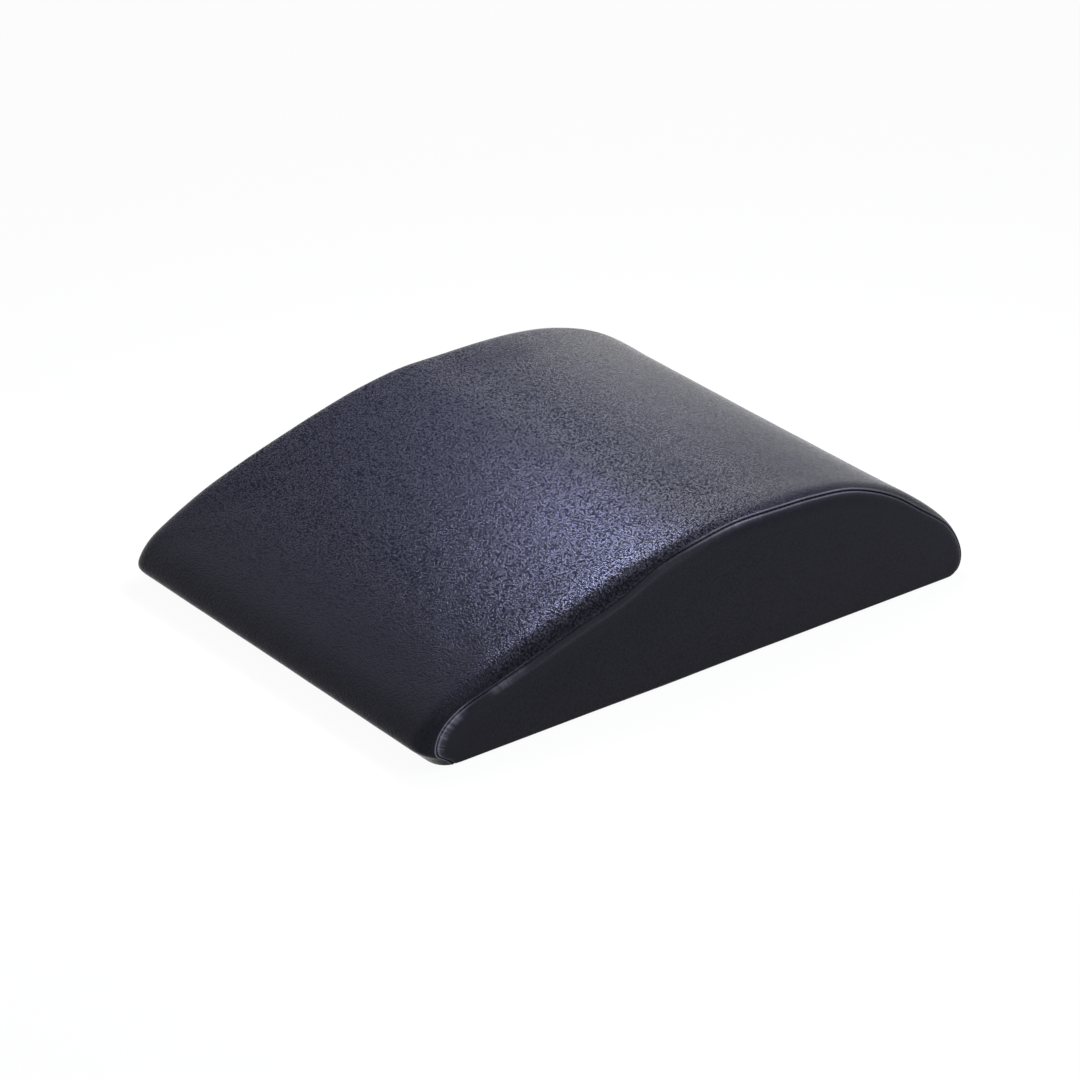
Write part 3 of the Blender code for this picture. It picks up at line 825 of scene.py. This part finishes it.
@dataclass
class TopCover:
    """The sewn cover over nose, arch and back, with its folds under the board."""

    form: PadForm
    relief: SeamRelief
    fill: CoverFill
    waves: Undulation
    fold: Fold = Fold()
    columns: int = 37
    even_share: float = 0.45
    seam_columns: tuple[float, ...] = (5.0, 4.2, 3.5, 2.9, 2.4, 1.95, 1.55, 1.2, 0.9, 0.62, 0.38, 0.18, 0.0)
    seam_share: float = 0.8
    far_columns: int = 12
    far_spread: float = 1.15
    hem_columns: Table = ((0.35, 2.2), (0.8, 2.7), (1.6, 3.0), (3.5, 3.1), (6.0, 3.1))
    hem_rows: tuple[int, int] = (12, -6)
    fold_rows: int = 8

    def side_rows(self, end: End) -> tuple[Array, Array]:
        """Columns of one end from the start of the rounding to the seam, and their painted highlight."""
        run = stations(self.form)
        seam = self.form.seam_reach(run)
        near = np.array(self.seam_columns)[None] * MM
        near = np.minimum(near, seam * near / near[0, 0] * self.seam_share)
        far = (seam - near[:, :1]) * (np.linspace(0, 1, self.far_columns + 1)[None, :-1] ** self.far_spread)
        reach = np.concatenate([far, seam - near], axis=1)
        points, normals = self.form.side(run, reach, end.value)
        dip = self.relief.cover_dip(run, seam - reach) - self.waves.at(points) * (seam - reach) / seam
        points = points - normals * dip[..., None]
        # painted highlight along the lip
        painted_highlight = self.relief.cover_highlight(run, seam - reach)
        return self.fold.rounded(points, normals, self.form.floor), painted_highlight

    def crown_rows(self) -> Array:
        """Columns between the two roundings, closest together beside them."""
        run = stations(self.form)
        even = np.linspace(-1, 1, self.columns + 2)[None, 1:-1]
        across = self.even_share * even + (1 - self.even_share) * np.sin(even * pi / 2)
        points, normals = self.form.crown(run, across)
        swell = self.fill.at(run, across) + self.waves.at(points)
        points = points + normals * swell[..., None]
        return self.fold.rounded(points, normals, self.form.floor)

    def allowance_rows(self, end: End) -> Array:
        """The turned-in edge that runs on behind the end panel."""
        run = stations(self.form)
        past, depth = np.array(self.hem_columns).T * MM
        points, normals = self.form.side(run, self.form.seam_reach(run) + past[None], end.value)
        return points - normals * depth[None, :, None]

    def build(self) -> Mesh:
        """Closed mesh of the whole cover."""
        sheet = SheetBuilder("cover_skin")
        right, right_highlight = self.side_rows(End.RIGHT)
        left, left_highlight = self.side_rows(End.LEFT)
        crown = self.crown_rows()
        grid = np.concatenate([left[:, ::-1], crown, right], axis=1)
        painted_highlight = np.concatenate([left_highlight[:, ::-1], np.zeros(crown.shape[:2]), right_highlight], axis=1)
        number = sheet.points(grid, painted_highlight)
        sheet.quads(number)
        # the turned-in edges stop clear of the folds at the bottom
        clear = slice(*self.hem_rows)
        sheet.quads(number[clear, -1:], sheet.points(self.allowance_rows(End.RIGHT)[clear]))
        sheet.quads(sheet.points(self.allowance_rows(End.LEFT)[clear, ::-1]), number[clear, :1])
        # the folds lie under the board and narrow towards the mitres
        narrow = (self.form.width / 2 - self.fold.width - self.fold.mitre) / (self.form.width / 2)
        for row, inwards in ((0, 1), (-1, -1)):
            edge = grid[row]
            y = edge[len(edge) // 2, 1] + inwards * self.fold.width
            inner = sheet.points(self.fold.strips(edge, edge[:, 0] * narrow, y, self.fold_rows))
            block = np.concatenate([number[row][None], inner])
            sheet.quads(block[::-inwards])
        return sheet.build(self.fold.wall)


@dataclass
class EndPanel:
    """One flat end of the cover, sewn in along the arch and folded under the board."""

    form: PadForm
    relief: SeamRelief
    waves: Undulation
    end: End
    fold: Fold = Fold()
    belly: float = 0.9 * MM
    belly_height: float = 40 * MM
    gap: float = 0.3 * MM
    past_round: float = 1.0 * MM
    last_column: float = 0.8 * MM
    rim_columns: tuple[float, ...] = (
        0.0, 0.2, 0.4, 0.65, 0.95, 1.3, 1.7, 2.2, 2.8, 3.5, 4.4, 5.5, 6.9, 8.5, 10.3, 12.3,
    )
    fold_rows: int = 6
    face_columns: int = 13
    face_share: float = 0.94
    foot_columns: tuple[float, ...] = (0.96, 0.975, 0.985, 0.993, 1.0)
    foot_lifts: Table = (
        (0.00, 0.0), (0.08, -0.1), (0.25, -0.3), (0.40, -0.6), (0.52, -0.3), (0.64, 0.2), (0.76, 0.5), (0.86, 0.3),
        (0.94, 0.0), (1.00, 0.0),
    )

    def build(self) -> Mesh:
        """Closed mesh of the panel."""
        sheet = SheetBuilder(f"panel_skin_{self.end.name.lower()}")
        run = stations(self.form)
        sign = self.end.value
        seam = self.form.seam_reach(run)
        rolled = seam + self.gap + np.array(self.rim_columns)[None] * MM
        last = np.maximum(self.form.quarter(run) + self.past_round, rolled[:, -1:])
        reach = np.concatenate([rolled, last + self.last_column], axis=1)
        points, normals = self.form.side(run, reach, sign)
        dip = self.relief.panel_dip(run, reach - seam)
        points = points - normals * dip[..., None]
        # painted highlight between the puckers, along the rim and on the ridge
        painted_highlight = self.relief.panel_highlight(run, reach - seam)
        # from there straight down the face to an even row of points along the bottom edge
        rim = points[:, -1]
        share = run[:, 0] / self.form.total
        along = rim[0, 1] + (rim[-1, 1] - rim[0, 1]) * share
        foot_height = self.form.floor + self.relief.strength(run[:, 0], self.foot_lifts) * MM
        foot = np.stack(np.broadcast_arrays(sign * self.form.width / 2, along, foot_height), axis=1)
        steps = np.concatenate([np.linspace(0, self.face_share, self.face_columns + 1)[1:], self.foot_columns])
        face = rim[:, None] + (foot - rim)[:, None] * steps[None, :, None]
        tall = np.clip((rim[:, 2] - self.form.floor) / self.belly_height, 0, 1)
        face[..., 0] += sign * (self.belly * tall[:, None] + self.waves.at(face)) * np.sin(pi * steps)[None]
        grid = np.concatenate([points, face], axis=1)
        level = np.zeros_like(face)
        level[..., 0] = sign
        grid = self.fold.rounded(grid, np.concatenate([normals, level], axis=1), self.form.floor)
        painted_highlight = np.concatenate([painted_highlight, np.zeros(face.shape[:2])], axis=1)
        number = sheet.points(grid, painted_highlight)
        sheet.quads(number, flip=sign < 0)
        # the fold under the board, from the rim to a straight inner edge
        ring = np.concatenate([number[0], number[1:, -1], number[-1, ::-1][1:]])
        edge = grid.reshape(-1, 3)[ring]
        inset = self.fold.width + self.fold.mitre
        start, stop = grid[0, 0, 1] + inset, grid[-1, 0, 1] - inset
        share = (edge[:, 1] - edge[:, 1].min()) / (edge[:, 1].max() - edge[:, 1].min())
        x = sign * (self.form.width / 2 - self.fold.width)
        strips = sheet.points(self.fold.strips(edge, x, start + (stop - start) * share, self.fold_rows))
        sheet.quads(ring[None], strips, axis=0, flip=sign > 0)
        return sheet.build(self.fold.wall)


@dataclass
class FoamWedge:
    """The foam under the leather, rounded at its ends, set back from the turned-in seams, open around the board."""

    form: PadForm
    depth: float = 2.2 * MM
    end_depth: float = 4.6 * MM
    board_top: float = 16.4 * MM
    board_front: float = 4.5 * MM
    bottom: float = 4.1 * MM
    roll_shares: tuple[float, ...] = (0.15, 0.35, 0.55, 0.72)
    columns: int = 25
    coarser: int = 4
    sharp: float = 40.0

    def build(self) -> Mesh:
        """Closed mesh of the wedge."""
        run = stations(self.form)[::self.coarser]
        crown, normals = self.form.crown(run, np.linspace(-1, 1, self.columns)[None])
        crown = crown - normals * self.depth
        rolls = np.array(self.roll_shares)[None]
        deep = self.depth + (self.end_depth - self.depth) * rolls / rolls[0, -1]
        sides = {}
        for end in End:
            points, normals = self.form.side(run, self.form.quarter(run) * rolls, end.value)
            sides[end] = points - normals * deep[..., None]
        points = np.concatenate([sides[End.LEFT][:, ::-1], crown, sides[End.RIGHT]], axis=1)
        points[..., 2] = np.maximum(points[..., 2], self.bottom)
        front, back = points[0, 0, 1] + self.board_front, points[-1, 0, 1] - self.board_front
        low = points[0, 0, 2]
        corners = ((back, low), (back, self.board_top), (front, self.board_top), (front, low))
        inner = [np.stack(np.broadcast_arrays(points[0, :, 0], y, z), axis=1) for y, z in corners]
        grid = np.concatenate([points, inner]).swapaxes(0, 1)
        number = np.arange(grid[..., 0].size).reshape(grid.shape[:2])
        closed = np.concatenate([number, number[:, :1]], axis=1)
        faces = grid_faces(closed, flip=True)
        faces += [tuple(number[0].tolist()), tuple(number[-1, ::-1].tolist())]
        return closed_mesh("foam_wedge", grid, faces, self.sharp)


class GeometryTree(Nodes):
    """Geometry Nodes tree with named sizes, which lays small rounds of one material on points."""

    def __init__(self, name: str, sizes: dict[str, float]) -> None:
        """Start a tree with a geometry input and output, and a named input for each size."""
        super().__init__(bpy.data.node_groups.new(name, "GeometryNodeTree"))
        for way in ("INPUT", "OUTPUT"):
            self.tree.interface.new_socket("Geometry", in_out=way, socket_type="NodeSocketGeometry")
        for size in sizes:
            self.tree.interface.new_socket(size, in_out="INPUT", socket_type="NodeSocketFloat")
        self.sizes = sizes
        self.given = self.tree.nodes.new("NodeGroupInput").outputs

    def bake(self, name: str, mesh: Mesh, material: Material, size: tuple[Socket, Socket, Socket], rings: int,
             points: Socket, **inputs: object) -> Mesh:
        """Finish the tree with a scaled sphere on every point and run it on a mesh.

        Args:
            name: name of the result.
            mesh: mesh that the tree starts from.
            material: material of the spheres.
            size: sockets with the sphere's size along each axis.
            rings: number of rings of the sphere.
            points: socket with the points.
            inputs: more inputs of the node that lays the spheres.

        Returns:
            The plain mesh that the tree makes, smooth shaded.
        """
        ball = self.add("GeometryNodeMeshUVSphere", Segments=8, Rings=rings, Radius=0.5)
        scale = self.add("ShaderNodeCombineXYZ", *size)
        laid = self.add("GeometryNodeInstanceOnPoints", Points=points, Instance=ball.outputs["Mesh"],
                        Scale=scale.outputs[0], **inputs)
        real = self.add("GeometryNodeRealizeInstances", Geometry=laid.outputs[0])
        dressed = self.add("GeometryNodeSetMaterial", Geometry=real.outputs[0], Material=material)
        self.add("NodeGroupOutput", dressed.outputs[0])
        holder = placed(name, mesh)
        modifier = holder.modifiers.new(name, "NODES")
        modifier.node_group = self.tree
        for item in self.tree.interface.items_tree:
            if item.name in self.sizes:
                modifier[item.identifier] = self.sizes[item.name]
        return evaluated(holder)


@dataclass
class SeamStitches:
    """Lock stitches that lie in the sunk seam of one end, one after the other."""

    form: PadForm
    end: End
    pitch: float = 3.4 * MM
    length: float = 2.9 * MM
    thickness: float = 0.55 * MM
    depth: float = 1.25 * MM
    clear: float = 9 * MM
    sampling: float = 1.5 * MM
    past_seam: float = 0.15 * MM

    def build(self, thread: Material) -> Mesh:
        """Plain mesh of all stitches of this end."""
        run = np.arange(self.clear, self.form.total - self.clear, self.sampling)[:, None]
        points, normals = self.form.side(run, self.form.seam_reach(run) + self.past_seam, self.end.value)
        line = plain_mesh("seam_line", points - normals * self.depth,
                          edges=[(index, index + 1) for index in range(len(run) - 1)])
        nodes = GeometryTree("seam_stitches", {"Pitch": self.pitch, "Stitch length": self.length,
                                               "Thread": self.thickness})
        curve = nodes.add("GeometryNodeMeshToCurve", Mesh=nodes.given["Geometry"])
        places = nodes.add("GeometryNodeCurveToPoints", Curve=curve.outputs[0])
        places.mode = "LENGTH"
        nodes.put(places.inputs["Length"], nodes.given["Pitch"])
        turn = nodes.add("FunctionNodeAlignRotationToVector", Vector=places.outputs["Tangent"])
        turn.axis = "X"
        size = (nodes.given["Stitch length"], nodes.given["Thread"], nodes.given["Thread"])
        return nodes.bake(f"seam_stitches_{self.end.name.lower()}", line, thread, size, 6, places.outputs["Points"],
                          Rotation=turn.outputs["Rotation"])


@dataclass
class Underlay:
    """Rubber sheet against slipping, drawn up a little at its staples, with rows of grip dots."""

    low: Vector
    high: Vector
    staples: tuple[Pair, ...]
    corner: float = 9 * MM
    pitch: float = 3 * MM
    dimple: float = 0.75 * MM
    dimple_reach: float = 4.5 * MM
    dot_pitch: float = 9 * MM
    dot_width: float = 3.6 * MM
    dot_height: float = 0.35 * MM
    dot_clear: float = 13 * MM
    staple_clear: float = 8 * MM
    sharp: float = 50.0

    def _rounded(self, spots: Array) -> Array:
        """Move the points beyond the rounded corners onto them."""
        low, high = np.array(self.low)[:2], np.array(self.high)[:2]
        middle, half = (low + high) / 2, (high - low) / 2
        off = spots - middle
        past = np.abs(off) - (half - self.corner)
        both = (past > 0).all(axis=-1)
        reach = np.maximum(np.linalg.norm(past, axis=-1), TINY)
        inner = past.max(axis=-1)
        squeezed = past * (inner / reach)[..., None]
        new = np.sign(off) * (half - self.corner + squeezed)
        return middle + np.where(both[..., None], new, off)

    def build(self) -> Mesh:
        """Closed mesh of the sheet."""
        spans = zip(self.low[:2], self.high[:2])
        lines = [np.linspace(low, high, int((high - low) / self.pitch)) for low, high in spans]
        spots = self._rounded(np.stack(np.meshgrid(*lines, indexing="ij"), axis=-1))
        drawn = np.zeros(spots.shape[:2])
        for x, y in self.staples:
            away = ((spots[..., 0] - x) ** 2 + (spots[..., 1] - y) ** 2) / self.dimple_reach ** 2
            drawn = np.maximum(drawn, self.dimple * np.exp(-away))
        under = np.concatenate([spots, (self.low.z + self.dot_height + drawn)[..., None]], axis=-1)
        top = np.concatenate([spots, np.full(spots.shape[:2] + (1,), self.high.z)], axis=-1)
        lower = np.arange(drawn.size).reshape(drawn.shape)
        upper = lower + drawn.size
        faces = grid_faces(lower) + grid_faces(upper, flip=True)
        rim = [np.concatenate([grid[0], grid[1:, -1], grid[-1, ::-1][1:], grid[::-1, 0][1:]])
               for grid in (lower, upper)]
        faces += grid_faces(np.stack(rim), flip=True)
        return closed_mesh("underlay_skin", np.stack([under, top]), faces, self.sharp)

    def dots(self, rubber: Material) -> Mesh:
        """Plain mesh of the grip dots under the sheet."""
        spots = []
        for row, y in enumerate(np.arange(self.low.y + self.dot_clear, self.high.y - self.dot_clear, self.dot_pitch)):
            shift = self.dot_pitch / 2 * (row % 2)
            for x in np.arange(self.low.x + self.dot_clear + shift, self.high.x - self.dot_clear, self.dot_pitch):
                if all((x - sx) ** 2 + (y - sy) ** 2 > self.staple_clear ** 2 for sx, sy in self.staples):
                    spots.append((x, y, self.low.z + self.dot_height))
        nodes = GeometryTree("grip_dots", {"Dot width": self.dot_width, "Dot height": self.dot_height})
        width = nodes.given["Dot width"]
        tall = nodes.math("MULTIPLY", nodes.given["Dot height"], 2.0)
        return nodes.bake("underlay_dots", plain_mesh("dot_places", np.array(spots)), rubber, (width, width, tall), 4,
                          nodes.given["Geometry"])


@dataclass(frozen=True)
class Lamp:
    """Square soft lamp that points at the near shoulder of the mat.

    Its elevation is in degrees above the floor and its azimuth in degrees from -X towards +Y. Its distance
    from the shoulder and its size are in metres, its power in watts.
    """

    name: str
    elevation: float
    azimuth: float
    distance: float
    size: float
    power: float
    colour: Triple

    def build(self, target: Vector) -> None:
        """Hang the lamp, out of the camera's sight."""
        data = bpy.data.lights.new(self.name, "AREA")
        data.shape, data.size, data.energy, data.color = "SQUARE", self.size, self.power, self.colour
        rise, turn = radians(self.elevation), radians(self.azimuth)
        way = Vector((-cos(rise) * cos(turn), cos(rise) * sin(turn), sin(rise)))
        lamp = placed(self.name, data)
        lamp.location = target + way * self.distance
        lamp.rotation_euler = (-way).to_track_quat("-Z", "Y").to_euler()
        lamp.visible_camera = False


@dataclass
class Studio:
    """Pale floor, soft light and the camera at the photograph's angle."""

    azimuth: float = 52.397
    elevation: float = 27.075
    distance: float = 2849.0 * MM
    target: Triple = (0.0, -3.93 * MM, 36.37 * MM)
    focal_pixels: float = 4685.7
    frame_pixels: float = 1080.0
    target_pixels: Pair = (543.04, 528.62)
    sensor: float = 36.0
    sight: float = 30.0
    shoulder: Triple = (130 * MM, -50 * MM, 83 * MM)
    floor_reach: float = 12.0
    floor_colour: Triple = (0.82, 0.82, 0.83)
    floor_glow: float = 0.95
    ambient: float = 0.45
    lamps: tuple[Lamp, ...] = (
        Lamp("key", 60, 45, 0.50, 0.20, 2.7, (1.0, 0.96, 0.90)),
        Lamp("glint", 54, 25, 0.35, 0.10, 3.8, (0.48, 0.54, 1.0)),
        Lamp("fill", 48, 25, 0.55, 0.14, 0.75, (1.0, 0.98, 1.0)),
        Lamp("crest", 5, 40, 1.50, 0.30, 0.62, (1.0, 0.99, 0.94)),
        Lamp("side", 60, 150, 1.00, 0.50, 7.0, (0.80, 0.87, 1.0)),
    )

    def camera(self) -> None:
        """Camera that looks along the photograph's line of sight."""
        azimuth, elevation = radians(self.azimuth), radians(self.elevation)
        ahead = Vector((-sin(azimuth) * cos(elevation), cos(azimuth) * cos(elevation), -sin(elevation)))
        right = Vector((cos(azimuth), sin(azimuth), 0))
        up = right.cross(ahead)
        data = bpy.data.cameras.new("camera")
        data.sensor_width = self.sensor
        data.lens = self.focal_pixels / self.frame_pixels * self.sensor
        data.clip_end = self.sight
        per_pixel = self.distance / self.focal_pixels
        middle = self.frame_pixels / 2
        aim = (Vector(self.target) - right * (self.target_pixels[0] - middle) * per_pixel
               - up * (middle - self.target_pixels[1]) * per_pixel)
        place = aim - ahead * self.distance
        turn = Matrix((right, up, -ahead)).transposed().to_4x4()
        camera = placed("camera", data)
        camera.matrix_world = Matrix.Translation(place) @ turn
        bpy.context.scene.camera = camera

    def floor(self) -> None:
        """Pale floor that shows white to the camera and in gloss, and keeps a soft shadow."""
        corners = np.array([(-1, -1, 0), (1, -1, 0), (1, 1, 0), (-1, 1, 0)]) * self.floor_reach
        nodes = ShaderTree("studio_floor")
        nodes.give(Base_Color=(*self.floor_colour, 1), Roughness=0.9, Specular_IOR_Level=0.0)
        glow = nodes.add("ShaderNodeEmission", Color=(1, 1, 1, 1), Strength=1.0)
        share = nodes.math("MULTIPLY", nodes.looked_at(), self.floor_glow)
        mix = nodes.add("ShaderNodeMixShader", share, nodes.shader.outputs["BSDF"], glow.outputs["Emission"])
        nodes.put(nodes.tree.nodes["Material Output"].inputs["Surface"], mix.outputs["Shader"])
        add_piece("studio_floor", plain_mesh("studio_floor", corners, [(0, 1, 2, 3)]), nodes.material)

    def world(self) -> None:
        """White surround to look at and in gloss, and a dimmer one that lights the mat."""
        world = bpy.data.worlds.new("studio")
        bpy.context.scene.world = world
        world.use_nodes = True
        nodes = Nodes(world.node_tree)
        background = nodes.tree.nodes["Background"]
        nodes.put(background.inputs["Color"], (1, 1, 1, 1))
        nodes.put(background.inputs["Strength"], nodes.spread(nodes.looked_at(), (0.0, 1.0), (self.ambient, 1.0)))

    def build(self) -> None:
        """Floor, surround, lamps and camera."""
        bpy.context.scene.view_settings.view_transform = "Standard"
        self.floor()
        self.world()
        for lamp in self.lamps:
            lamp.build(Vector(self.shoulder))
        self.camera()


def staple_places(prefix: str) -> tuple[Pair, ...]:
    """Middles of the staples whose nodes start with a prefix, seen from above."""
    names = sorted(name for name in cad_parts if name.startswith(prefix))
    boxes = [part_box(name) for name in names]
    return tuple(((low[0] + high[0]) / 2, (low[1] + high[1]) / 2) for low, high in boxes)


def main() -> None:
    """Build every piece in order and report it."""
    logging.basicConfig(level=logging.INFO, format="%(message)s")
    form = PadForm()
    relief = SeamRelief(form)
    waves = Undulation()
    fill = CoverFill(form)
    fill.build()

    cover_leather = Leather("cover_leather", Grain.COVER).build()
    panel_leather = Leather("panel_leather", Grain.PANEL, roughness=0.42, specular=0.09, cavity_shade=0.15,
                            dome_glint_gain=1.0, tone_span=0.1).build()
    foam = PlainFinish("foam", (0.20, 0.20, 0.21), 0.90, scale=400.0).build()
    plywood = PlainFinish("plywood", (0.55, 0.36, 0.19), 0.65, scale=30.0, stretch=(0.15, 1.0, 6.0)).build()
    rubber = PlainFinish("underlay_rubber", (0.025, 0.025, 0.027), 0.75, scale=900.0, relief=0.1 * MM).build()
    steel = PlainFinish("staple_steel", (0.55, 0.56, 0.58), 0.35, metallic=1.0, scale=700.0, contrast=0.1).build()
    thread = PlainFinish("seam_thread", (0.012, 0.012, 0.014), 0.7, scale=3000.0, contrast=0.4).build()

    cover = add_piece("cover_skin", TopCover(form, relief, fill, waves).build(), cover_leather)
    dress(cover, "cover_leather", "top_cover")
    for end in End:
        side = end.name.lower()
        panel = add_piece(f"panel_skin_{side}", EndPanel(form, relief, waves, end).build(), panel_leather)
        dress(panel, "panel_leather", f"end_panel_{side}")
        # its rim is the arch, and the cut also has the strip that is turned in under the board
        stitches = add_piece(f"seam_stitches_{side}", SeamStitches(form, end).build(thread), thread)
        dress(stitches, "seam_thread", f"seam_thread_{side}")
    wedge = add_piece("foam_wedge", FoamWedge(form).build(), foam)
    dress(wedge, "foam", "foam_core")

    low, high = (Vector(corner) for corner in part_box("underside_sheet"))
    underlay = Underlay(low, high, staple_places("underlay_staple"))
    skin = add_piece("underlay_skin", underlay.build(), rubber)
    dress(skin, "underlay_rubber", "underside_sheet")
    dots = add_piece("underlay_dots", underlay.dots(rubber), rubber)
    dress(dots, "underlay_rubber")

    for name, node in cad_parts.items():
        finish = plywood if name == "base_board" else steel if "staple" in name else None
        if finish is not None:
            for holder in node.material_slots:
                holder.material = finish
            log.info("%s: keeps its shape", name)

    Studio().build()


if __name__ == "__main__":
    main()
